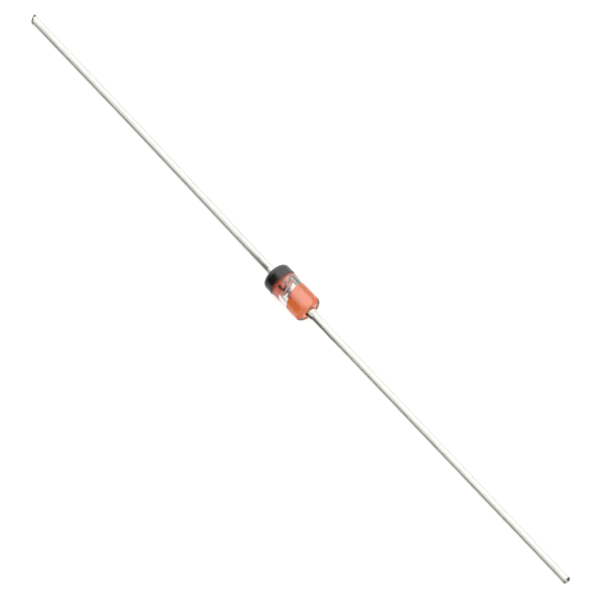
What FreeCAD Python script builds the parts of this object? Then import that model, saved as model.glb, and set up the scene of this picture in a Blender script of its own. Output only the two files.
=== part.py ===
import FreeCAD, Part
import math
import os

# Zener diode with axial leads and a clear glass body, lying on a flat surface.
# +X runs along the leads, from the banded cathode end to the anode end, and +Z is up.
# The origin is midway between the lead tips, on the surface that the body lies on.
# All lengths are in millimetres and all angles in degrees.

# Glass sleeve and the two metal studs that are sealed in it
body_length = 3.30
stud_diameter = 1.20
glass_wall = 0.30
lip_length = 0.05
lip_cover = 0.06
lip_round = 0.03
end_flat = 0.02

# Sealed space between the studs, whose inner faces are cut a little askew
gap_length = 0.60
gap_offset = -0.11
anode_face_skew = 18.0
cathode_face_skew = 14.0
stud_edge_round = 0.03

# Chip, contact button and contact spring, stacked in that space
stack_roll = 24.0
stack_shift = -0.10
die_width = 0.42
die_thickness = 0.24
die_bevel = 0.03
button_diameter = 0.22
button_round = 0.02
spring_height = 0.25
spring_width = 0.38
spring_thickness = 0.05
spring_bend_height = 0.28
spring_foot = 0.58
spring_arm = 0.42

# Wire leads, each butt-welded to its stud
lead_diameter = 0.56
cathode_lead_length = 22.34
anode_lead_length = 23.36
weld_diameter = 0.68
weld_length = 0.42

# Gentle set in the cathode lead, and the cut ends
set_start = 1.00
set_run = 11.50
set_offset = 0.092
set_radius = 80.0
cathode_tip_slant = 28.0
anode_tip_round = 0.18

# Painted cathode band
band_length = 0.85
paint_thickness = 0.03
paint_edge_round = 0.02

# Sizes that follow from those above
stud_radius = stud_diameter / 2
body_radius = stud_radius + glass_wall
lip_radius = stud_radius - lip_cover
end_round = glass_wall + lip_cover - lip_round - end_flat
stud_end = body_length / 2 - lip_length
lead_radius = lead_diameter / 2
weld_radius = weld_diameter / 2
cathode_tip = body_length / 2 + cathode_lead_length
anode_tip = body_length / 2 + anode_lead_length
anode_face = gap_offset + gap_length / 2
cathode_face = gap_offset - gap_length / 2

ORIGIN = FreeCAD.Vector(0, 0, 0)
X_AXIS = FreeCAD.Vector(1, 0, 0)
Z_AXIS = FreeCAD.Vector(0, 0, 1)

# Shapes are made about the body's centre, then moved to where the body lies
body_centre = FreeCAD.Vector((cathode_tip - anode_tip) / 2, 0, body_radius + paint_thickness)


def point(x, y=0.0, z=0.0):
    return FreeCAD.Vector(x, y, z)


def line(start, end):
    return Part.LineSegment(start, end).toShape()


def arc(centre, radius, start_angle, end_angle, side=point(0, 1, 0)):
    """Arc in the plane of X and side, from one angle about its centre to another."""

    def on_arc(angle):
        turn = math.radians(angle)
        return centre + X_AXIS * (radius * math.cos(turn)) + side * (radius * math.sin(turn))

    middle_angle = (start_angle + end_angle) / 2
    return Part.Arc(on_arc(start_angle), on_arc(middle_angle), on_arc(end_angle)).toShape()


def turned(edges):
    """Solid turned about the X axis from a closed outline in the XY plane."""
    return Part.Face(Part.Wire(edges)).revolve(ORIGIN, X_AXIS, 360)


def rod(radius, start, end):
    """Round bar on the X axis between two places."""
    return Part.makeCylinder(radius, end - start, point(start), X_AXIS)


def circular_edges(shape, radius, place):
    """Edges of a turned shape that are circles of one radius at one place along X."""
    found = []
    for edge in shape.Edges:
        curve = edge.Curve
        if isinstance(curve, Part.Circle) and abs(curve.Radius - radius) < 1e-6:
            if abs(curve.Center.x - place) < 1e-6:
                found.append(edge)
    return found


def rolled_frame(place, skew, shift=0.0):
    """Frame turned with the stack of inner pieces about X, then skewed about its own Z axis."""
    turn = FreeCAD.Rotation(X_AXIS, stack_roll).multiply(FreeCAD.Rotation(Z_AXIS, skew))
    return FreeCAD.Placement(place + turn.multVec(point(0, shift)), turn)


# Frames of the studs' inner faces: each has its X axis square to the face, and the chip and spring
# stand on them a little to one side
anode_frame = rolled_frame(point(anode_face), anode_face_skew)
cathode_frame = rolled_frame(point(cathode_face), cathode_face_skew)
die_frame = rolled_frame(point(anode_face), anode_face_skew, stack_shift)
spring_frame = rolled_frame(point(cathode_face), cathode_face_skew, stack_shift)


def placed(shape, frame):
    moved = shape.copy()
    moved.Placement = frame.multiply(moved.Placement)
    return moved


def half_space(side, frame, face=0.0):
    """Block that fills one side of a frame, from a face at a distance along its X axis."""
    size = 2 * body_length
    corner = point(face if side > 0 else face - size, -size / 2, -size / 2)
    return placed(Part.makeBox(size, size, size, corner), frame)


def body_form(skin):
    """Outer form of the glass with its two rounded ends, grown by the thickness of a skin."""
    end = body_length / 2 + skin
    shoulder = body_length / 2 - end_round
    ring = body_radius - end_round
    radius = end_round + skin
    return turned(
        [
            line(point(-end), point(-end, ring)),
            arc(point(-shoulder, ring), radius, 180, 90),
            line(point(-shoulder, ring + radius), point(shoulder, ring + radius)),
            arc(point(shoulder, ring), radius, 90, 0),
            line(point(end, ring), point(end)),
            line(point(end), point(-end)),
        ]
    )


def glass_sleeve():
    """Sleeve that is fused onto both studs, spans the gap between them and wraps over their shoulders."""
    sleeve = body_form(0)
    sleeve = sleeve.cut(rod(lip_radius, -body_length, body_length))
    end = body_length / 2
    rims = circular_edges(sleeve, lip_radius, -end) + circular_edges(sleeve, lip_radius, end)
    sleeve = sleeve.makeFillet(lip_round, rims)
    return sleeve.cut(rod(stud_radius, -stud_end, stud_end))


def stud(side):
    """Metal stud on one side of the gap, with its inner face cut askew and its rim eased."""
    bar = rod(stud_radius, -stud_end, stud_end)
    bar = bar.cut(half_space(-side, anode_frame if side > 0 else cathode_frame))
    rim = [edge for edge in bar.Edges if isinstance(edge.Curve, Part.Ellipse)]
    return bar.makeFillet(stud_edge_round, rim)


def zener_die():
    """Square chip on the anode stud, bevelled round its contact side."""
    corner = point(-die_thickness, -die_width / 2, -die_width / 2)
    chip = Part.makeBox(die_thickness, die_width, die_width, corner)
    top = [edge for edge in chip.Edges if abs(edge.BoundBox.XMax + die_thickness) < 1e-6]
    return placed(chip.makeChamfer(die_bevel, top), die_frame)


def die_button():
    """Raised contact on the chip, whose top is pressed flat by the spring."""
    radius = button_diameter / 2
    button = rod(radius, spring_height, gap_length)
    button = button.makeFillet(button_round, circular_edges(button, radius, spring_height))
    return placed(button, spring_frame).cut(half_space(1, die_frame, -die_thickness))


def contact_spring():
    """Ribbon bent into a C: its foot lies on the cathode stud, and its arm bears on the button."""
    outer = spring_height / 2
    inner = outer - spring_thickness
    bend = point(outer, 0, spring_bend_height)
    foot_end = spring_bend_height - spring_foot
    arm_end = spring_bend_height - spring_arm

    def at(x, z):
        return point(x, -spring_width / 2, z)

    centre = at(bend.x, bend.z)
    outline = [
        line(at(0, foot_end), at(0, bend.z)),
        arc(centre, outer, 180, 0, Z_AXIS),
        line(at(spring_height, bend.z), at(spring_height, arm_end)),
        line(at(spring_height, arm_end), at(spring_height - spring_thickness, arm_end)),
        line(at(spring_height - spring_thickness, arm_end), at(spring_height - spring_thickness, bend.z)),
        arc(centre, inner, 0, 180, Z_AXIS),
        line(at(spring_thickness, bend.z), at(spring_thickness, foot_end)),
        line(at(spring_thickness, foot_end), at(0, foot_end)),
    ]
    ribbon = Part.Face(Part.Wire(outline)).extrude(point(0, spring_width))
    return placed(ribbon, spring_frame)


def weld_bead():
    """Swollen butt weld between the anode stud and its wire, narrowing to the wire."""
    end = stud_end + weld_length
    drop = weld_radius - lead_radius
    radius = (weld_length**2 + drop**2) / (2 * drop)
    end_angle = 90 - math.degrees(math.asin(weld_length / radius))
    return turned(
        [
            line(point(stud_end), point(stud_end, weld_radius)),
            arc(point(stud_end, weld_radius - radius), radius, 90, end_angle),
            line(point(end, lead_radius), point(end)),
            line(point(end), point(stud_end)),
        ]
    )


def anode_lead():
    """Straight wire with a rounded tip."""
    wire = rod(lead_radius, stud_end, anode_tip)
    wire = wire.makeFillet(anode_tip_round, circular_edges(wire, lead_radius, anode_tip))
    return wire.fuse(weld_bead()).removeSplitter()


def eased_corner(before, corner, after, radius):
    """Where an arc at a corner of a path starts and ends, with the arc itself."""
    back = (before - corner).normalize()
    ahead = (after - corner).normalize()
    half_turn = (math.pi - back.getAngle(ahead)) / 2
    inward = (back + ahead).normalize()
    start = corner + back * (radius * math.tan(half_turn))
    end = corner + ahead * (radius * math.tan(half_turn))
    middle = corner + inward * (radius / math.cos(half_turn) - radius)
    return start, Part.Arc(start, middle, end).toShape(), end


def cathode_lead():
    """Wire with a gentle set towards +Y, cut off at a slant."""
    root = point(-stud_end)
    knee = point(-body_length / 2 - set_start)
    ankle = point(knee.x - set_run, set_offset)
    tip = point(-cathode_tip, set_offset)
    knee_start, knee_arc, knee_end = eased_corner(root, knee, ankle, set_radius)
    ankle_start, ankle_arc, ankle_end = eased_corner(knee, ankle, tip, set_radius)
    path = Part.Wire(
        [
            line(root, knee_start),
            knee_arc,
            line(knee_end, ankle_start),
            ankle_arc,
            line(ankle_end, tip),
        ]
    )
    section = Part.Face(Part.Wire(Part.makeCircle(lead_radius, root, X_AXIS)))
    wire = path.makePipe(section)
    size = 4 * lead_diameter
    block = Part.makeBox(size, size, size, point(-size, -size / 2, -size / 2))
    cut_place = tip + point(lead_radius * math.tan(math.radians(cathode_tip_slant)))
    wire = wire.cut(placed(block, rolled_frame(cut_place, cathode_tip_slant)))
    bead = weld_bead().mirror(ORIGIN, X_AXIS)
    return wire.fuse(bead).removeSplitter()


def cathode_band():
    """Paint over the cathode end of the glass, down to the rounded lip."""
    edge = band_length - body_length / 2
    radius = body_radius + paint_thickness
    coat = body_form(paint_thickness).cut(body_form(0))
    coat = coat.common(rod(2 * body_radius, -body_length, edge))
    coat = coat.cut(rod(lip_radius + lip_round, -body_length, edge))
    return coat.makeFillet(paint_edge_round, circular_edges(coat, radius, edge))


shapes = {
    "anode_lead": anode_lead(),
    "cathode_lead": cathode_lead(),
    "anode_stud": stud(1),
    "cathode_stud": stud(-1),
    "zener_die": zener_die(),
    "die_button": die_button(),
    "contact_spring": contact_spring(),
    "glass_sleeve": glass_sleeve(),
    "cathode_band": cathode_band(),
}

os.makedirs("parts", exist_ok=True)
for name, shape in shapes.items():
    if len(shape.Solids) != 1:
        raise ValueError(f"{name} is not one solid")
    piece = shape.Solids[0].copy()
    piece.translate(body_centre)
    piece.exportStep(f"parts/{name}.step")
    print(f"{name}: {piece.Volume:.4f} mm3, valid {piece.isValid()}")
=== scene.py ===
import math

import bpy
import numpy as np
from mathutils import Matrix, Vector, noise


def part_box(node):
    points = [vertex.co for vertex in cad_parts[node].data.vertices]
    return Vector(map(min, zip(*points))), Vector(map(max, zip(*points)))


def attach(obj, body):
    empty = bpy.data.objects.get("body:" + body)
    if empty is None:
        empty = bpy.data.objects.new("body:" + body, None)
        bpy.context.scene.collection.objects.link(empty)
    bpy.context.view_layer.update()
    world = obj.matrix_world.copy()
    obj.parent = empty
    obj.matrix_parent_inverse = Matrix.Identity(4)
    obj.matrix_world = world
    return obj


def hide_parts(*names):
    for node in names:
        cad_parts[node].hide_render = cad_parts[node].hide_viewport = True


# Zener diode with axial leads and a clear glass body.
# Sizes are in millimetres, in the frame of the part, and are turned into metres as a mesh is made.
MM = 0.001

# The body's form, as in the part
BODY_HALF = 1.65
GLASS_RADIUS = 0.90
END_ROUND = 0.31
END_FLAT_RING = 0.59
LIP_RADIUS = 0.54
LIP_ROUND = 0.03
STUD_RADIUS = 0.60
STUD_END = 1.60
STUD_EASE = 0.03
CAVITY_SWELL = 0.01
FACE = {1: 0.19, -1: -0.41}
FACE_SKEW = {1: math.radians(18.0), -1: math.radians(14.0)}
STACK_ROLL = math.radians(24.0)
STACK_SHIFT = -0.10
DIE_WIDTH = 0.42
DIE_THICKNESS = 0.24
DIE_BEVEL = 0.03
BUTTON_RADIUS = 0.11
BUTTON_ROUND = 0.02
SPRING_HEIGHT = 0.25
SPRING_WIDTH = 0.38
SPRING_THICKNESS = 0.05
SPRING_BEND = 0.28
SPRING_FOOT = 0.58
SPRING_ARM = 0.42
BAND_EDGE = -0.80
PAINT = 0.03
# The paint's skin stands this far off the glass, so that the two don't share a surface
PAINT_LIFT = 0.0005
# Edges that turn more than this are shaded as edges
SHARP = math.radians(30.0)

# The leads
LEAD_RADIUS = 0.28
WELD_RADIUS = 0.34
WELD_LENGTH = 0.42
SET_START = 1.00
SET_RUN = 11.50
SET_OFFSET = 0.092
SET_RADIUS = 80.0
CUT_SLANT = math.radians(28.0)
TIP_ROUND = 0.18

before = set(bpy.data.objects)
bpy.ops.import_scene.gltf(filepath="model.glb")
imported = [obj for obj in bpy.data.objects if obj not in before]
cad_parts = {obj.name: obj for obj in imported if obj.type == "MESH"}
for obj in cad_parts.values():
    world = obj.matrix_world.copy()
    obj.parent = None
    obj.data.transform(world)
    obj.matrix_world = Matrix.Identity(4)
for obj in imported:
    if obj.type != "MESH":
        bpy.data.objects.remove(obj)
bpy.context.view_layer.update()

sleeve_low, sleeve_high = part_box("glass_sleeve")
CENTRE = (sleeve_low + sleeve_high) / 2 / MM
CATHODE_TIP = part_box("cathode_lead")[0].x / MM - CENTRE.x
ANODE_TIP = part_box("anode_lead")[1].x / MM - CENTRE.x

scene = bpy.context.scene
scene.view_settings.view_transform = "Standard"


# Camera: a long lens from above the anode side
CAMERA_AZIMUTH = math.radians(49.587)
CAMERA_ELEVATION = math.radians(63.307)
CAMERA_DISTANCE = 1500.0
VIEW_WIDTH = 35.468
CAMERA_TARGET = Vector((0.079, 0.103, 0.737))
SENSOR_WIDTH = 36.0

# Direction across the leads that points to the lower left of the picture
FRONT = Vector(
    (0.0, -math.sin(CAMERA_ELEVATION), -math.cos(CAMERA_AZIMUTH) * math.cos(CAMERA_ELEVATION))
).normalized()

# Light: a wide soft box overhead, given by its aim, its edge in degrees and its strength
SOFTBOX_AIM = (-0.554, 0.407, 0.726)
SOFTBOX_INNER = 32.0
SOFTBOX_OUTER = 58.0
SOFTBOX = 1.5
# The surroundings, as scattered light and as reflections
AMBIENT = 1.2
GLOSS_AMBIENT = 1.0
# A grey flag low on one side, for reflections: its aim, spread, height, softness and depth
FLAG_AIM = (-0.524, -0.844, 0.025)
FLAG_SPREAD = (0.35, 0.70)
FLAG_TOP = 0.46
FLAG_SOFT = 0.16
FLAG = 0.75
# The floor, as diffuse light and as the camera and reflections see it
FLOOR_HALF = 4.0
FLOOR_SHADED = (0.80, 0.80, 0.80, 1.0)
FLOOR_FAINT = (0.40, 0.40, 0.40, 1.0)
FLOOR_GLOW = 0.72
WHITE = (1.0, 1.0, 1.0, 1.0)

# Curved dark card beside the body: its distance, its ends along X and how far the left one fades,
# the angles between which it fades in and out, and how much further down it starts towards +X
CARD_DISTANCE = 8.0
CARD_ENDS = (-7.0, 0.6)
CARD_FADE = 2.4
CARD_TURN = (-27.0, 12.0, 70.0, 79.0)
CARD_LEAN = (-3.7, -2.4, 36.0)
CARD_SPREAD = (-26.0, 78.0)
CARD_STEPS = 16
# Cards of painted shade and shadow that lie on the floor, as (left, right, near side, far side)
FAR_SHADOW_CARD = (-7.0, 1.5, 0.9, 30.0)
NEAR_FLOOR_SHADE = (-60.0, 40.0, -40.0, -1.8)
SHADE_CARD = (-1.8, 4.0, -9.0, -1.3)

# Burnt arc beside the weld: how far from the axis it fades, where it is about the axis, how wide it is
BURN_REACH = (0.50, 0.40)
BURN_TURN = math.radians(-35.0)
BURN_WIDTH = (0.85, 0.35)

# Soft marks, some of them painted shade and painted highlights as said beside them: (place along X, half
# length, angle about the axis, half width in degrees, strength, colour).
# The angle is 0 on the side towards the camera and grows towards the lower left of the picture.
CATHODE_WIRE_MARKS = [
    (CATHODE_TIP + 0.29, 0.16, 62.0, 34.0, 0.85, (0.09, 0.10, 0.075)),
    (CATHODE_TIP + 0.16, 0.15, 0.0, 36.0, 0.85, (0.10, 0.11, 0.085)),
    (CATHODE_TIP + 0.05, 0.16, -62.0, 36.0, 0.85, (0.09, 0.10, 0.075)),
]
ANODE_WIRE_MARKS_AND_PAINTED_LIGHT = [
    # Painted shade: a dark line on the lower-left side of the wire beside the body
    (BODY_HALF + 0.20, 0.32, 62.0, 26.0, 0.9, (0.10, 0.07, 0.05)),
    # Painted highlight: a cream glint on the weld bead
    (BODY_HALF + 0.10, 0.12, -10.0, 30.0, 0.5, (0.90, 0.72, 0.42)),
    (ANODE_TIP - 0.03, 0.12, -50.0, 44.0, 0.9, (0.05, 0.05, 0.045)),
    (ANODE_TIP - 0.05, 0.09, 40.0, 30.0, 0.7, (0.14, 0.14, 0.12)),
]
ANODE_STUD_MARKS = [(0.34, 0.15, 25.0, 8.0, 0.55, (0.26, 0.015, 0.03))]
CATHODE_STUD_MARKS_AND_PAINTED_HIGHLIGHT = [
    # Painted highlight: a salmon patch on the upper side of the stud
    (-0.66, 0.22, -62.0, 34.0, 0.8, (1.0, 0.50, 0.43)),
    (-0.64, 0.27, -9.0, 10.0, 0.95, (0.36, 0.012, 0.006)),
    (-0.48, 0.24, 25.0, 9.0, 0.97, (0.12, 0.004, 0.001)),
    (-0.52, 0.14, -50.0, 16.0, 0.85, (0.06, 0.006, 0.02)),
]


def make_camera():
    data = bpy.data.cameras.new("camera")
    camera = bpy.data.objects.new("camera", data)
    scene.collection.objects.link(camera)
    back = Vector(
        (
            math.sin(CAMERA_AZIMUTH) * math.cos(CAMERA_ELEVATION),
            -math.cos(CAMERA_AZIMUTH) * math.cos(CAMERA_ELEVATION),
            math.sin(CAMERA_ELEVATION),
        )
    )
    camera.location = (CAMERA_TARGET + back * CAMERA_DISTANCE) * MM
    camera.rotation_mode = "QUATERNION"
    camera.rotation_quaternion = (-back).to_track_quat("-Z", "Y")
    data.sensor_width = SENSOR_WIDTH
    data.lens = SENSOR_WIDTH * CAMERA_DISTANCE / VIEW_WIDTH
    data.clip_start = 0.1
    data.clip_end = 10.0
    scene.camera = camera


# Node helpers
def new_material(name):
    material = bpy.data.materials.new(name)
    material.use_nodes = True
    tree = material.node_tree
    tree.nodes.clear()
    output = tree.nodes.new("ShaderNodeOutputMaterial")
    shader = tree.nodes.new("ShaderNodeBsdfPrincipled")
    tree.links.new(shader.outputs[0], output.inputs["Surface"])
    return material, tree, shader


def node(tree, kind, inputs=None, **settings):
    made = tree.nodes.new(kind)
    for key, value in settings.items():
        setattr(made, key, value)
    for key, value in (inputs or {}).items():
        if isinstance(value, bpy.types.NodeSocket):
            tree.links.new(value, made.inputs[key])
        else:
            made.inputs[key].default_value = value
    return made


def place(tree, scale=(1.0, 1.0, 1.0)):
    """Position on the object, in millimetres, stretched by a scale."""
    coordinates = node(tree, "ShaderNodeTexCoord")
    factor = [s / MM for s in scale]
    return node(
        tree,
        "ShaderNodeVectorMath",
        {0: coordinates.outputs["Object"], 1: factor},
        operation="MULTIPLY",
    ).outputs[0]


def mottle(tree, vector, scale, detail, roughness):
    return node(
        tree,
        "ShaderNodeTexNoise",
        {"Vector": vector, "Scale": scale, "Detail": detail, "Roughness": roughness},
    ).outputs["Fac"]


def ramp(tree, value, stops):
    made = node(tree, "ShaderNodeValToRGB", {"Fac": value})
    elements = made.color_ramp.elements
    while len(elements) > 1:
        elements.remove(elements[-1])
    elements[0].position, elements[0].color = stops[0][0], (*stops[0][1], 1.0)
    for position, colour in stops[1:]:
        element = elements.new(position)
        element.color = (*colour, 1.0)
    return made.outputs["Color"]


def span(tree, value, low, high, out_low=0.0, out_high=1.0, smooth=False):
    return node(
        tree,
        "ShaderNodeMapRange",
        {"Value": value, "From Min": low, "From Max": high, "To Min": out_low, "To Max": out_high},
        interpolation_type="SMOOTHSTEP" if smooth else "LINEAR",
    ).outputs["Result"]


def blend(tree, factor, first, second):
    made = node(tree, "ShaderNodeMix", data_type="RGBA")
    for socket, value in ((made.inputs[0], factor), (made.inputs[6], first), (made.inputs[7], second)):
        if isinstance(value, bpy.types.NodeSocket):
            tree.links.new(value, socket)
        elif isinstance(value, tuple):
            socket.default_value = (*value, 1.0)
        else:
            socket.default_value = value
    return made.outputs[2]


def math_node(tree, operation, *values):
    return node(tree, "ShaderNodeMath", dict(enumerate(values)), operation=operation).outputs[0]


def product(tree, first, *others):
    for other in others:
        first = math_node(tree, "MULTIPLY", first, other)
    return first


def inside(tree, value, low, high, low_fade=1.0, high_fade=1.0):
    """1 between two limits, and fading to 0 at each."""
    rising = span(tree, value, low, low + low_fade, 0.0, 1.0, True)
    falling = span(tree, value, high, high - high_fade, 0.0, 1.0, True)
    return product(tree, rising, falling)


def bump(tree, height, distance, strength=1.0):
    return node(
        tree, "ShaderNodeBump", {"Height": height, "Distance": distance * MM, "Strength": strength}
    ).outputs["Normal"]


def from_middle(tree):
    """Position from the body's middle, in millimetres."""
    return node(
        tree, "ShaderNodeVectorMath", {0: place(tree), 1: tuple(CENTRE)}, operation="SUBTRACT"
    ).outputs[0]


def about_axis(tree):
    """Place along the axis from the body's middle, distance from the axis, and angle about it."""
    across = from_middle(tree)
    parts = node(tree, "ShaderNodeSeparateXYZ", {0: across})
    x, y, z = (parts.outputs[k] for k in "XYZ")
    forward = math_node(tree, "ADD", product(tree, y, FRONT.y), product(tree, z, FRONT.z))
    upward = math_node(tree, "ADD", product(tree, y, FRONT.z), product(tree, z, -FRONT.y))
    angle = math_node(tree, "ARCTAN2", forward, upward)
    flat = node(tree, "ShaderNodeVectorMath", {0: across, 1: (0.0, 1.0, 1.0)}, operation="MULTIPLY")
    radial = node(tree, "ShaderNodeVectorMath", {0: flat.outputs[0]}, operation="LENGTH")
    return x, radial.outputs["Value"], angle


def patch_at(tree, x, angle, middle, size, turn, width, ragged):
    """One soft mark on a round surface, at a place along it and an angle about it, in degrees."""
    along = math_node(tree, "DIVIDE", math_node(tree, "SUBTRACT", x, middle), size)
    along = math_node(tree, "POWER", math_node(tree, "ABSOLUTE", along), 4.0)
    around = math_node(tree, "SUBTRACT", angle, math.radians(turn))
    around = math_node(tree, "DIVIDE", around, math.radians(width))
    reach = math_node(tree, "SQRT", math_node(tree, "ADD", along, product(tree, around, around)))
    reach = math_node(tree, "ADD", reach, span(tree, ragged, 0.3, 0.7, -0.25, 0.25))
    return span(tree, reach, 1.25, 0.55, 0.0, 1.0, True)


def marked(tree, base, x, angle, marks, ragged):
    """A colour with a list of soft marks laid over it."""
    for middle, size, turn, width, strength, colour in marks:
        mark = patch_at(tree, x, angle, middle, size, turn, width, ragged)
        base = blend(tree, product(tree, mark, strength), base, colour)
    return base


# Materials
def tinned_wire(name, light, dull, stain, seed, marks):
    """Tin-coated wire: drawn along its length, mottled, with small stains and soft marks, among them painted
    shade and a painted highlight on the anode wire.
    """
    material, tree, shader = new_material(name)
    drawn = place(tree, (1.0, 3.0, 3.0))
    shift = node(tree, "ShaderNodeVectorMath", {0: drawn, 1: (seed, seed, seed)}, operation="ADD").outputs[0]
    cloud = mottle(tree, shift, 1.3, 5.0, 0.6)
    patch = mottle(tree, shift, 3.4, 3.0, 0.5)
    fine = mottle(tree, shift, 11.0, 4.0, 0.65)
    base = blend(tree, span(tree, cloud, 0.38, 0.66), light, dull)
    base = blend(tree, span(tree, patch, 0.60, 0.72, 0.0, 0.6), base, stain)
    x, _, angle = about_axis(tree)
    base = marked(tree, base, x, angle, marks, patch)
    shader.inputs["Metallic"].default_value = 1.0
    tree.links.new(base, shader.inputs["Base Color"])
    tree.links.new(span(tree, fine, 0.3, 0.7, 0.15, 0.26), shader.inputs["Roughness"])
    tree.links.new(bump(tree, fine, 0.010, 0.5), shader.inputs["Normal"])
    return material


def clear_glass():
    material, tree, shader = new_material("clear_glass")
    shader.inputs["Base Color"].default_value = (0.97, 0.985, 0.97, 1.0)
    shader.inputs["Transmission Weight"].default_value = 1.0
    shader.inputs["IOR"].default_value = 1.52
    ripple = mottle(tree, place(tree, (0.6, 1.0, 1.0)), 1.6, 2.0, 0.5)
    tree.links.new(span(tree, ripple, 0.3, 0.7, 0.0, 0.03), shader.inputs["Roughness"])
    tree.links.new(bump(tree, ripple, 0.012, 0.6), shader.inputs["Normal"])
    return material


def glazed_stud(name, bright, deep, burnt, out_sign, marks):
    """Orange-red oxide under the glass, with soft marks laid over it, a painted highlight among those on the
    cathode stud, and a burnt arc beside the weld.
    """
    material, tree, shader = new_material(name)
    position = place(tree)
    cloud = mottle(tree, position, 2.2, 4.0, 0.6)
    grain = mottle(tree, place(tree, (0.4, 3.0, 3.0)), 9.0, 4.0, 0.6)
    ragged = mottle(tree, place(tree, (2.0, 3.0, 3.0)), 3.0, 4.0, 0.6)
    base = blend(tree, span(tree, cloud, 0.35, 0.65), bright, deep)
    x, radial, angle = about_axis(tree)
    base = marked(tree, base, x, angle, marks, ragged)
    outer = math_node(tree, "GREATER_THAN", product(tree, x, out_sign), STUD_END - 0.03)
    scorch = math_node(tree, "ADD", radial, span(tree, cloud, 0.3, 0.7, -0.04, 0.04))
    scorch = span(tree, scorch, *BURN_REACH, 0.0, 1.0, True)
    side = math_node(tree, "ABSOLUTE", math_node(tree, "SUBTRACT", angle, BURN_TURN))
    side = span(tree, side, *BURN_WIDTH, 0.0, 1.0, True)
    base = blend(tree, product(tree, scorch, outer, side), base, burnt)
    tree.links.new(base, shader.inputs["Base Color"])
    shader.inputs["IOR"].default_value = 2.35
    tree.links.new(span(tree, grain, 0.3, 0.7, 0.16, 0.27), shader.inputs["Roughness"])
    tree.links.new(bump(tree, grain, 0.008, 0.5), shader.inputs["Normal"])
    return material


def band_paint():
    """Black enamel, thinning to a brown see-through edge."""
    material, tree, shader = new_material("band_paint")
    position = place(tree)
    along = node(tree, "ShaderNodeSeparateXYZ", {0: from_middle(tree)}).outputs["X"]
    ragged = mottle(tree, place(tree, (1.0, 2.0, 2.0)), 2.6, 5.0, 0.6)
    depth = math_node(tree, "ADD", along, span(tree, ragged, 0.3, 0.7, -0.05, 0.05))
    thin = span(tree, depth, BAND_EDGE - 0.13, BAND_EDGE - 0.01, 0.0, 1.0, True)
    base = blend(tree, thin, (0.008, 0.006, 0.005), (0.16, 0.035, 0.018))
    tree.links.new(base, shader.inputs["Base Color"])
    tree.links.new(span(tree, thin, 0.35, 1.0, 1.0, 0.25), shader.inputs["Alpha"])
    speck = mottle(tree, position, 16.0, 3.0, 0.6)
    tree.links.new(span(tree, speck, 0.35, 0.7, 0.10, 0.22), shader.inputs["Roughness"])
    tree.links.new(bump(tree, speck, 0.006, 0.6), shader.inputs["Normal"])
    shader.inputs["IOR"].default_value = 1.70
    return material


def grained(name, stretch, grain, tones, metallic, roughness):
    """Metal or silicon with a fine grain between two tones."""
    material, tree, shader = new_material(name)
    speck = mottle(tree, place(tree, stretch), *grain)
    dark, light = tones
    tree.links.new(ramp(tree, speck, [(0.35, dark), (0.65, light)]), shader.inputs["Base Color"])
    shader.inputs["Metallic"].default_value = metallic
    shader.inputs["Roughness"].default_value = roughness
    return material


# Mesh helpers
def make_piece(name, points, faces, material, slot, replaced):
    """A mesh from points about the body's centre, that stands for a CAD node and rides on the part."""
    mesh = bpy.data.meshes.new(name)
    placed = [tuple((Vector(p) + CENTRE) * MM) for p in points]
    mesh.from_pydata(placed, [], faces)
    mesh.validate()
    mesh.update()
    mesh.shade_smooth()
    mesh.set_sharp_from_angle(angle=SHARP)
    piece = bpy.data.objects.new(name, mesh)
    scene.collection.objects.link(piece)
    mesh.materials.append(material)
    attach(piece, "root")
    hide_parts(replaced)


def rings_to_mesh(rings, start=None, end=None, closed=False):
    """Points and faces for a row of rings, with a point or an open edge at each end."""
    count = len(rings[0])
    points = [p for ring in rings for p in ring]
    faces = []
    rows = len(rings)
    for i in range(rows if closed else rows - 1):
        for j in range(count):
            k = (j + 1) % count
            a, b = i * count, (i + 1) % rows * count
            faces.append((a + j, b + j, b + k, a + k))
    if start is not None:
        points.append(start)
        tip = len(points) - 1
        faces += [(tip, j, (j + 1) % count) for j in range(count)]
    if end is not None:
        points.append(end)
        tip, base = len(points) - 1, (rows - 1) * count
        faces += [(base + (j + 1) % count, base + j, tip) for j in range(count)]
    return points, faces


def arc_points(centre, radius, start, end, steps):
    """Profile points (x, r) on an arc from one angle to another, in degrees."""
    angles = [math.radians(start + (end - start) * i / steps) for i in range(steps + 1)]
    return [(centre[0] + radius * math.cos(a), centre[1] + radius * math.sin(a)) for a in angles]


def turned_rings(profile, count):
    return [
        [
            (x, r * math.cos(2 * math.pi * j / count), r * math.sin(2 * math.pi * j / count))
            for j in range(count)
        ]
        for x, r in profile
    ]


def flipped(faces):
    return [tuple(reversed(f)) for f in faces]


def subdivided(profile, step):
    """The same profile with points no further apart than a step."""
    out = [profile[0]]
    for (x0, r0), (x1, r1) in zip(profile, profile[1:]):
        n = max(1, math.ceil(math.hypot(x1 - x0, r1 - r0) / step))
        out += [(x0 + (x1 - x0) * i / n, r0 + (r1 - r0) * i / n) for i in range(1, n + 1)]
    return out


def unevenness(x, angle, size, scale, seed):
    """A smooth wander of the surface, from noise that closes round the axis."""
    sample = Vector((x * scale, math.cos(angle) * scale * 0.9 + seed, math.sin(angle) * scale * 0.9))
    return size * noise.noise(sample)


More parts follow.
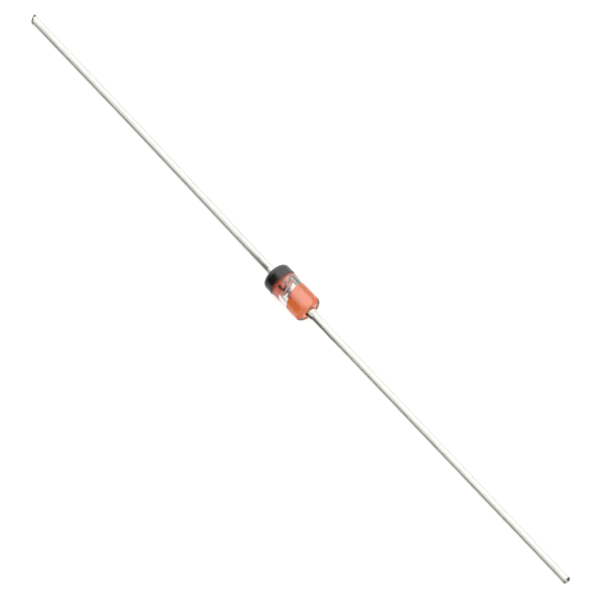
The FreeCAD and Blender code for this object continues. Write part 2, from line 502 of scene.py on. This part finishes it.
# The pieces
def glass_sleeve():
    """Sleeve in one skin: the studs are sunk in it, and the gap between them is a hollow."""
    half = [(STUD_END - 0.02, LIP_RADIUS)]
    half += [(BODY_HALF - LIP_ROUND, LIP_RADIUS)]
    half += arc_points((BODY_HALF - LIP_ROUND, LIP_RADIUS + LIP_ROUND), LIP_ROUND, -90, 0, 6)[1:]
    half += arc_points((BODY_HALF - END_ROUND, END_FLAT_RING), END_ROUND, 0, 90, 20)
    right = subdivided(half, 0.05)
    left = [(-x, r) for x, r in right]
    profile = right + subdivided([right[-1], left[-1]], 0.05)[1:-1] + left[::-1]
    count = 144
    rings = []
    for x, r in profile:
        ring = []
        for j in range(count):
            a = 2 * math.pi * j / count
            wander = unevenness(x, a, 0.008, 1.1, 3.0) if r > LIP_RADIUS + LIP_ROUND else 0.0
            ring.append((x, (r - abs(wander)) * math.cos(a), (r - abs(wander)) * math.sin(a)))
        rings.append(ring)
    points, faces = rings_to_mesh(rings, (profile[0][0], 0, 0), (profile[-1][0], 0, 0))
    hollow = hollow_rings(count)
    ends = [(sum(point[0] for point in ring) / count, 0, 0) for ring in (hollow[0], hollow[-1])]
    inner_points, inner_faces = rings_to_mesh(hollow, *ends)
    shift = len(points)
    faces += [tuple(i + shift for i in f) for f in inner_faces]
    return points + inner_points, faces


def hollow_rings(count):
    """Rings of the sealed space: from just under one stud's eased edge to just under the other's."""
    levels = [(-1, STUD_EASE, STUD_RADIUS - STUD_EASE), (-1, STUD_EASE * 2 / 3, STUD_RADIUS - 0.002)]
    levels += [(-1, 0.0, STUD_RADIUS)]
    rings = []
    for side, sunk, r in levels + [(1, sunk, r) for side, sunk, r in reversed(levels)]:
        ring = skewed_ring(side, r, sunk, count)
        if side > 0 and sunk == 0.0:
            before = rings[-1]
            for step in range(1, 8):
                t = step / 8
                swell = 1 + CAVITY_SWELL * math.sin(math.pi * t) / STUD_RADIUS
                rings.append(
                    [(p[0] + (q[0] - p[0]) * t, q[1] * swell, q[2] * swell) for p, q in zip(before, ring)]
                )
        rings.append(ring)
    return rings


def skewed_plane(side, y, z):
    """Where a stud's inner face is along X, at a place across it."""
    across = y * math.cos(STACK_ROLL) + z * math.sin(STACK_ROLL)
    return FACE[side] - across * math.tan(FACE_SKEW[side])


def skewed_ring(side, r, back, count):
    """Ring of a radius, set back into a stud from its inner face."""
    ring = []
    for j in range(count):
        a = 2 * math.pi * j / count
        y, z = r * math.cos(a), r * math.sin(a)
        ring.append((skewed_plane(side, y, z) + side * back, y, z))
    return ring


def stud(side):
    """Stud from its flat outer end to its skewed inner face, whose edge is eased."""
    count = 128
    start = side * (STUD_END - 0.02)
    rings = turned_rings([(side * STUD_END, r) for r in (0.0001, 0.2, 0.45, 0.57)], count)
    rings += turned_rings([(start, STUD_RADIUS)], count)
    edge = skewed_ring(side, STUD_RADIUS, STUD_EASE, count)
    for fraction in np.linspace(0.05, 1.0, 24):
        rings.append([(start + (x - start) * fraction, y, z) for x, y, z in edge])
    for step in range(1, 6):
        t = math.radians(90 * step / 5)
        r = STUD_RADIUS - STUD_EASE * (1 - math.cos(t))
        rings.append(skewed_ring(side, r, STUD_EASE * (1 - math.sin(t)), count))
    rings += [skewed_ring(side, r, 0.0, count) for r in (0.45, 0.3, 0.15, 0.0001)]
    points, faces = rings_to_mesh(rings)
    return points, faces if side < 0 else flipped(faces)


def stack_frame(side):
    """Turns a point of the chip's or the spring's own frame into the body's frame."""
    turn = Matrix.Rotation(STACK_ROLL, 4, "X") @ Matrix.Rotation(FACE_SKEW[side], 4, "Z")
    return Matrix.Translation((FACE[side], 0, 0)) @ turn @ Matrix.Translation((0, STACK_SHIFT, 0))


def in_frame(matrix, points):
    return [tuple(matrix @ Vector(p)) for p in points]


def zener_die():
    """Sawn chip: its contact side is bevelled, and its corners are a little chipped."""
    half = DIE_WIDTH / 2
    steps = 12
    rings = []
    levels = [(0.0, half), (-0.04, half), (-0.09, half), (-0.14, half), (DIE_BEVEL - DIE_THICKNESS, half)]
    levels += [(0.008 - DIE_THICKNESS, half - DIE_BEVEL * 0.75), (-DIE_THICKNESS, half - DIE_BEVEL)]
    levels += [(-DIE_THICKNESS, half * 0.5)]
    for x, reach in levels:
        ring = []
        for j in range(4 * steps):
            corner, along = divmod(j, steps)
            t = -1 + 2 * along / steps
            y, z = ((1, t), (-t, 1), (-1, -t), (t, -1))[corner]
            chip = 0.006 * noise.noise(Vector((x * 9, y * 4 + 5, z * 4)))
            ring.append((x, y * reach * (1 - abs(chip)), z * reach * (1 - abs(chip))))
        rings.append(ring)
    points, faces = rings_to_mesh(rings, (0, 0, 0), (-DIE_THICKNESS, 0, 0))
    return in_frame(stack_frame(1), points), faces


def die_button():
    """Silver bump on the chip, pressed flat by the spring."""
    chip, spring = stack_frame(1), stack_frame(-1)
    count = 48
    rings = []
    profile = [(0.0, BUTTON_RADIUS - BUTTON_ROUND)]
    profile += [
        (BUTTON_ROUND * (1 - math.cos(t)), BUTTON_RADIUS - BUTTON_ROUND * (1 - math.sin(t)))
        for t in np.linspace(0.3, math.pi / 2, 6)
    ]
    for back, r in profile + [(None, BUTTON_RADIUS)]:
        ring = []
        for j in range(count):
            a = 2 * math.pi * j / count
            y, z = r * math.cos(a), r * math.sin(a)
            start = spring @ Vector((SPRING_HEIGHT, y, z))
            along = (spring.to_3x3() @ Vector((1, 0, 0))).normalized()
            if back is None:
                face = chip @ Vector((-DIE_THICKNESS, 0, 0))
                normal = chip.to_3x3() @ Vector((1, 0, 0))
                back_here = (face - start).dot(normal) / along.dot(normal)
            else:
                back_here = back
            ring.append(tuple(start + along * back_here))
        rings.append(ring)
    ends = [tuple(sum((Vector(p) for p in ring), Vector()) / count) for ring in (rings[0], rings[-1])]
    points, faces = rings_to_mesh(rings, *ends)
    return points, flipped(faces)


def contact_spring():
    """Ribbon bent into a C, with its edges eased, from its foot on one stud to its arm on the bump."""
    middle = (SPRING_HEIGHT - SPRING_THICKNESS) / 2
    half = SPRING_THICKNESS / 2
    path = [(half, z, 0.0) for z in np.linspace(SPRING_BEND - SPRING_FOOT, SPRING_BEND, 12)]
    for t in np.linspace(0, 180, 25)[1:-1]:
        a = math.radians(180 - t)
        path.append((half + middle + middle * math.cos(a), SPRING_BEND + middle * math.sin(a), t))
    path += [
        (SPRING_HEIGHT - half, z, 180.0) for z in np.linspace(SPRING_BEND, SPRING_BEND - SPRING_ARM, 10)
    ]
    ease = 0.010
    outline = []
    for side, level in ((-1, 1), (1, 1), (1, -1), (-1, -1)):
        corner = (side * (SPRING_WIDTH / 2 - ease), level * (half - ease))
        start = {(-1, 1): 180, (1, 1): 90, (1, -1): 0, (-1, -1): -90}[(side, level)]
        for k in range(4):
            a = math.radians(start - 30 * k)
            outline.append((corner[0] + ease * math.cos(a), corner[1] + ease * math.sin(a)))
    rings = []
    for x, z, t in path:
        a = math.radians(t)
        out = (-math.cos(a), 0.0, math.sin(a))
        rings.append([(x + out[0] * level, across, z + out[2] * level) for across, level in outline])
    ends = [(path[0][0], 0.0, path[0][1]), (path[-1][0], 0.0, path[-1][1])]
    points, faces = rings_to_mesh(rings, *ends)
    return in_frame(stack_frame(-1), points), faces


def lead_path_offset(x):
    """How far the cathode lead has moved towards +Y at a place along it."""
    knee = -BODY_HALF - SET_START
    ankle = knee - SET_RUN
    turn = math.atan2(SET_OFFSET, SET_RUN)
    tangent = SET_RADIUS * math.tan(turn / 2)
    if x > knee + tangent:
        return 0.0
    if x > knee - tangent * math.cos(turn):
        d = knee + tangent - x
        return SET_RADIUS - math.sqrt(SET_RADIUS**2 - d**2)
    if x > ankle + tangent * math.cos(turn):
        return (knee - x) * math.tan(turn)
    if x > ankle - tangent:
        d = x - (ankle - tangent)
        return SET_OFFSET - (SET_RADIUS - math.sqrt(SET_RADIUS**2 - d**2))
    return SET_OFFSET


def lead(side, tip):
    """Wire with its weld bead at the stud, a little uneven along its length."""
    count = 56
    drop = WELD_RADIUS - LEAD_RADIUS
    bead = (WELD_LENGTH**2 + drop**2) / (2 * drop)
    length = abs(tip) - STUD_END
    stations = list(np.linspace(0, WELD_LENGTH, 13))
    stations += list(np.arange(WELD_LENGTH + 0.08, length - 0.36, 0.08))
    rings = []
    for along in stations:
        radius = LEAD_RADIUS
        if along < WELD_LENGTH:
            radius = WELD_RADIUS - bead + math.sqrt(bead**2 - along**2)
        x = side * (STUD_END + along)
        shift = lead_path_offset(x) if side < 0 else 0.0
        ring = []
        for j in range(count):
            a = 2 * math.pi * j / count
            r = radius - abs(unevenness(x, a, 0.006, 1.4, 9.0 * side))
            ring.append((x, shift + r * math.cos(a), r * math.sin(a)))
        rings.append(ring)
    return rings, count


def anode_lead():
    rings, count = lead(1, ANODE_TIP)
    profile = [(ANODE_TIP - 0.22, LEAD_RADIUS)]
    profile += arc_points((ANODE_TIP - TIP_ROUND, LEAD_RADIUS - TIP_ROUND), TIP_ROUND, 90, 0, 7)
    profile += [(ANODE_TIP, 0.08)]
    rings += turned_rings(profile, count)
    points, faces = rings_to_mesh(rings, (STUD_END, 0, 0), (ANODE_TIP, 0, 0))
    return points, flipped(faces)


def cathode_lead():
    rings, count = lead(-1, CATHODE_TIP)
    shift = SET_OFFSET
    slope = math.tan(CUT_SLANT)
    lean = (math.cos(STACK_ROLL), math.sin(STACK_ROLL))
    for back, size in ((0.06, 1.0), (0.012, 0.985), (0.0, 0.95), (0.0, 0.5)):
        ring = []
        for j in range(count):
            a = 2 * math.pi * j / count
            y, z = size * LEAD_RADIUS * math.cos(a), size * LEAD_RADIUS * math.sin(a)
            across = y * lean[0] + z * lean[1]
            x = CATHODE_TIP + (LEAD_RADIUS - across) * slope + back
            ring.append((x, shift + y, z))
        rings.append(ring)
    middle = (CATHODE_TIP + LEAD_RADIUS * slope, shift, 0)
    return rings_to_mesh(rings, (-STUD_END, 0, 0), middle)


def cathode_band():
    """Coat of paint over the rounded end, with a rounded edge."""
    count = 144
    skin = PAINT * 0.9
    outer = [(-BODY_HALF - skin, LIP_RADIUS + LIP_ROUND)]
    outer += arc_points((-BODY_HALF + END_ROUND, END_FLAT_RING), END_ROUND + skin, 180, 90, 20)
    rings = turned_rings(outer, count)
    last = outer[-1][0]
    edge = BAND_EDGE - 0.006
    for fraction in np.linspace(0.08, 1.0, 12):
        ease = max(0.0, (fraction - 0.9) / 0.1)
        r = GLASS_RADIUS + skin * math.sqrt(max(0.0, 1 - ease**2)) + PAINT_LIFT
        rings += turned_rings([(last + (edge - last) * fraction, r)], count)
    inner = arc_points((-BODY_HALF + END_ROUND, END_FLAT_RING), END_ROUND + PAINT_LIFT, 90, 180, 20)
    inner += [(-BODY_HALF - PAINT_LIFT, LIP_RADIUS + LIP_ROUND)]
    rings += turned_rings(inner, count)
    return rings_to_mesh(rings, closed=True)


def floor_and_world():
    """White floor and surroundings, lit by one wide soft light from above."""
    mesh = bpy.data.meshes.new("floor")
    corners = [(x * FLOOR_HALF, y * FLOOR_HALF, 0) for x, y in ((-1, -1), (1, -1), (1, 1), (-1, 1))]
    mesh.from_pydata(corners, [], [(0, 1, 2, 3)])
    floor = bpy.data.objects.new("floor", mesh)
    scene.collection.objects.link(floor)
    material = bpy.data.materials.new("floor")
    material.use_nodes = True
    tree = material.node_tree
    tree.nodes.clear()
    path = node(tree, "ShaderNodeLightPath")
    seen = math_node(tree, "MAXIMUM", path.outputs["Is Camera Ray"], path.outputs["Is Glossy Ray"])
    seen = math_node(tree, "MAXIMUM", seen, path.outputs["Is Transmission Ray"])
    shaded = node(tree, "ShaderNodeBsdfDiffuse", {"Color": FLOOR_SHADED})
    faint = node(tree, "ShaderNodeBsdfDiffuse", {"Color": FLOOR_FAINT})
    white = node(tree, "ShaderNodeEmission", {"Color": WHITE, "Strength": FLOOR_GLOW})
    lit = node(tree, "ShaderNodeAddShader", {0: faint.outputs[0], 1: white.outputs[0]})
    mixed = node(tree, "ShaderNodeMixShader", {0: seen, 1: shaded.outputs[0], 2: lit.outputs[0]})
    output = node(tree, "ShaderNodeOutputMaterial")
    tree.links.new(mixed.outputs[0], output.inputs["Surface"])
    mesh.materials.append(material)

    world = bpy.data.worlds.new("studio")
    scene.world = world
    world.use_nodes = True
    tree = world.node_tree
    tree.nodes.clear()
    direction = node(tree, "ShaderNodeTexCoord").outputs["Generated"]

    def towards(x, y, z):
        aim = Vector((x, y, z)).normalized()
        return node(
            tree, "ShaderNodeVectorMath", {0: direction, 1: tuple(aim)}, operation="DOT_PRODUCT"
        ).outputs["Value"]

    box = span(
        tree,
        towards(*SOFTBOX_AIM),
        math.cos(math.radians(SOFTBOX_OUTER)),
        math.cos(math.radians(SOFTBOX_INNER)),
        0.0,
        1.0,
        True,
    )
    height = node(tree, "ShaderNodeSeparateXYZ", {0: direction}).outputs["Z"]
    low = span(tree, height, FLAG_TOP, FLAG_TOP - FLAG_SOFT, 0.0, 1.0, True)
    sideways = span(tree, towards(*FLAG_AIM), *FLAG_SPREAD, 0.0, 1.0, True)
    path = node(tree, "ShaderNodeLightPath")
    scattered = math_node(tree, "GREATER_THAN", path.outputs["Diffuse Depth"], 0.5)
    ambient = span(tree, scattered, 0.0, 1.0, GLOSS_AMBIENT, AMBIENT)
    flag = product(tree, low, sideways, math_node(tree, "SUBTRACT", 1.0, scattered), FLAG)
    around = product(tree, ambient, math_node(tree, "SUBTRACT", 1.0, box))
    level = math_node(tree, "ADD", around, product(tree, box, SOFTBOX))
    level = product(tree, level, math_node(tree, "SUBTRACT", 1.0, flag))
    studio = node(tree, "ShaderNodeBackground", {"Color": WHITE, "Strength": level})
    backdrop = node(tree, "ShaderNodeBackground", {"Color": WHITE, "Strength": 1.0})
    mixed = node(
        tree,
        "ShaderNodeMixShader",
        {0: path.outputs["Is Camera Ray"], 1: studio.outputs[0], 2: backdrop.outputs[0]},
    )
    output = node(tree, "ShaderNodeOutputWorld")
    tree.links.new(mixed.outputs[0], output.inputs["Surface"])


def card(name, points, faces, colour, fade, glossy):
    """Dark card, which only the object's reflections and the glass show: the curved one beside the body is a
    studio flag, and the flat ones on the floor are painted shade and shadow of the floor.
    """
    mesh = bpy.data.meshes.new(name)
    mesh.from_pydata([tuple((Vector(p) + CENTRE) * MM) for p in points], [], faces)
    made = bpy.data.objects.new(name, mesh)
    scene.collection.objects.link(made)
    made.visible_camera = False
    made.visible_diffuse = False
    made.visible_shadow = False
    made.visible_glossy = glossy
    material = bpy.data.materials.new(name)
    material.use_nodes = True
    tree = material.node_tree
    tree.nodes.clear()
    glow = node(tree, "ShaderNodeEmission", {"Color": (*colour, 1.0), "Strength": 1.0})
    clear = node(tree, "ShaderNodeBsdfTransparent")
    path = node(tree, "ShaderNodeLightPath")
    mirrored = math_node(tree, "LESS_THAN", path.outputs["Diffuse Depth"], 0.5)
    factor = product(tree, fade(tree), mirrored)
    mixed = node(tree, "ShaderNodeMixShader", {0: factor, 1: clear.outputs[0], 2: glow.outputs[0]})
    output = node(tree, "ShaderNodeOutputMaterial")
    tree.links.new(mixed.outputs[0], output.inputs["Surface"])
    mesh.materials.append(material)


def near_card():
    """Curved card beside the body, low on the side towards the camera."""
    points, faces = [], []
    first, last = CARD_SPREAD
    for k in range(CARD_STEPS + 1):
        a = math.radians(first + (last - first) * k / CARD_STEPS)
        y = CARD_DISTANCE * (math.sin(a) * FRONT.y + math.cos(a) * FRONT.z)
        z = CARD_DISTANCE * (math.sin(a) * FRONT.z - math.cos(a) * FRONT.y)
        points += [(CARD_ENDS[0], y, z), (CARD_ENDS[1], y, z)]
        if k:
            faces.append((2 * k - 2, 2 * k - 1, 2 * k + 1, 2 * k))

    def fade(tree):
        x, _, angle = about_axis(tree)
        start, full, low, end = (math.radians(t) for t in CARD_TURN)
        lean = span(tree, x, CARD_LEAN[0], CARD_LEAN[1], 0.0, math.radians(CARD_LEAN[2]), True)
        up = span(tree, math_node(tree, "SUBTRACT", angle, lean), start, full, 0.0, 1.0, True)
        down = span(tree, angle, end, low, 0.0, 1.0, True)
        return product(tree, up, down, inside(tree, x, *CARD_ENDS, CARD_FADE))

    card("near_card", points, faces, (0.03, 0.027, 0.02), fade, True)


def flat_card(name, edges, colour, glossy, height=0.02):
    """Card of painted shade that lies on the floor, between two places along the object and two across it.
    """
    z = height - CENTRE.z
    x0, x1, y0, y1 = edges
    points = [(x0, y0, z), (x1, y0, z), (x1, y1, z), (x0, y1, z)]

    def fade(tree):
        parts = node(tree, "ShaderNodeSeparateXYZ", {0: from_middle(tree)})
        near = abs(min((y0, y1), key=abs))
        off_axis = math_node(tree, "ABSOLUTE", parts.outputs["Y"])
        side = span(tree, off_axis, near, near + 0.5, 0.0, 0.95, True)
        return product(tree, side, inside(tree, parts.outputs["X"], x0, x1))

    card(name, points, [(0, 1, 2, 3)], colour, fade, glossy)


make_camera()
floor_and_world()
near_card()
# Painted shadow: the body's contact shadow on the floor on the far side, which only the glass shows
flat_card("far_shadow_card", FAR_SHADOW_CARD, (0.16, 0.18, 0.14), False)
# Painted shade: the floor on the unlit near side shown grey in reflections and through the glass
flat_card("near_floor_shade", NEAR_FLOOR_SHADE, (0.56, 0.55, 0.50), True)
# Painted shadow: a dark patch of floor beside the anode end, seen in reflections and through the glass
flat_card("shade_card", SHADE_CARD, (0.10, 0.08, 0.06), True, 0.04)

tones = ((0.69, 0.69, 0.67), (0.63, 0.635, 0.61), (0.54, 0.56, 0.50))
wire = tinned_wire("tinned_cathode", *tones, 2.0, CATHODE_WIRE_MARKS)
make_piece("cathode_wire", *cathode_lead(), wire, "lead_metal", "cathode_lead")
tones = ((0.71, 0.71, 0.68), (0.65, 0.65, 0.62), (0.53, 0.52, 0.47))
wire = tinned_wire("tinned_anode", *tones, 7.0, ANODE_WIRE_MARKS_AND_PAINTED_LIGHT)
make_piece("anode_wire", *anode_lead(), wire, "lead_metal", "anode_lead")

tones = ((1.0, 0.19, 0.002), (0.98, 0.14, 0.001), (0.22, 0.05, 0.012))
metal = glazed_stud("glazed_anode_stud", *tones, 1, ANODE_STUD_MARKS)
make_piece("anode_seal_stud", *stud(1), metal, "stud_metal", "anode_stud")
tones = ((0.98, 0.19, 0.11), (0.86, 0.12, 0.05), (0.22, 0.05, 0.012))
metal = glazed_stud("glazed_cathode_stud", *tones, -1, CATHODE_STUD_MARKS_AND_PAINTED_HIGHLIGHT)
make_piece("cathode_seal_stud", *stud(-1), metal, "stud_metal", "cathode_stud")

make_piece("glass_body", *glass_sleeve(), clear_glass(), "clear_glass", "glass_sleeve")
make_piece("painted_band", *cathode_band(), band_paint(), "band_paint", "cathode_band")

even = (1.0, 1.0, 1.0)
tones = ((0.17, 0.12, 0.20), (0.28, 0.21, 0.31))
silicon = grained("silicon", even, (9.0, 3.0, 0.5), tones, 0.4, 0.25)
make_piece("chip", *zener_die(), silicon, "silicon", "zener_die")
tones = ((0.72, 0.71, 0.68), (0.86, 0.85, 0.82))
silver = grained("silver", even, (14.0, 3.0, 0.5), tones, 1.0, 0.3)
make_piece("bump", *die_button(), silver, "silver", "die_button")
tones = ((0.46, 0.36, 0.30), (0.62, 0.52, 0.45))
strip = grained("spring_metal", (1.0, 6.0, 1.0), (6.0, 4.0, 0.6), tones, 0.9, 0.35)
make_piece("bent_ribbon", *contact_spring(), strip, "spring_metal", "contact_spring")
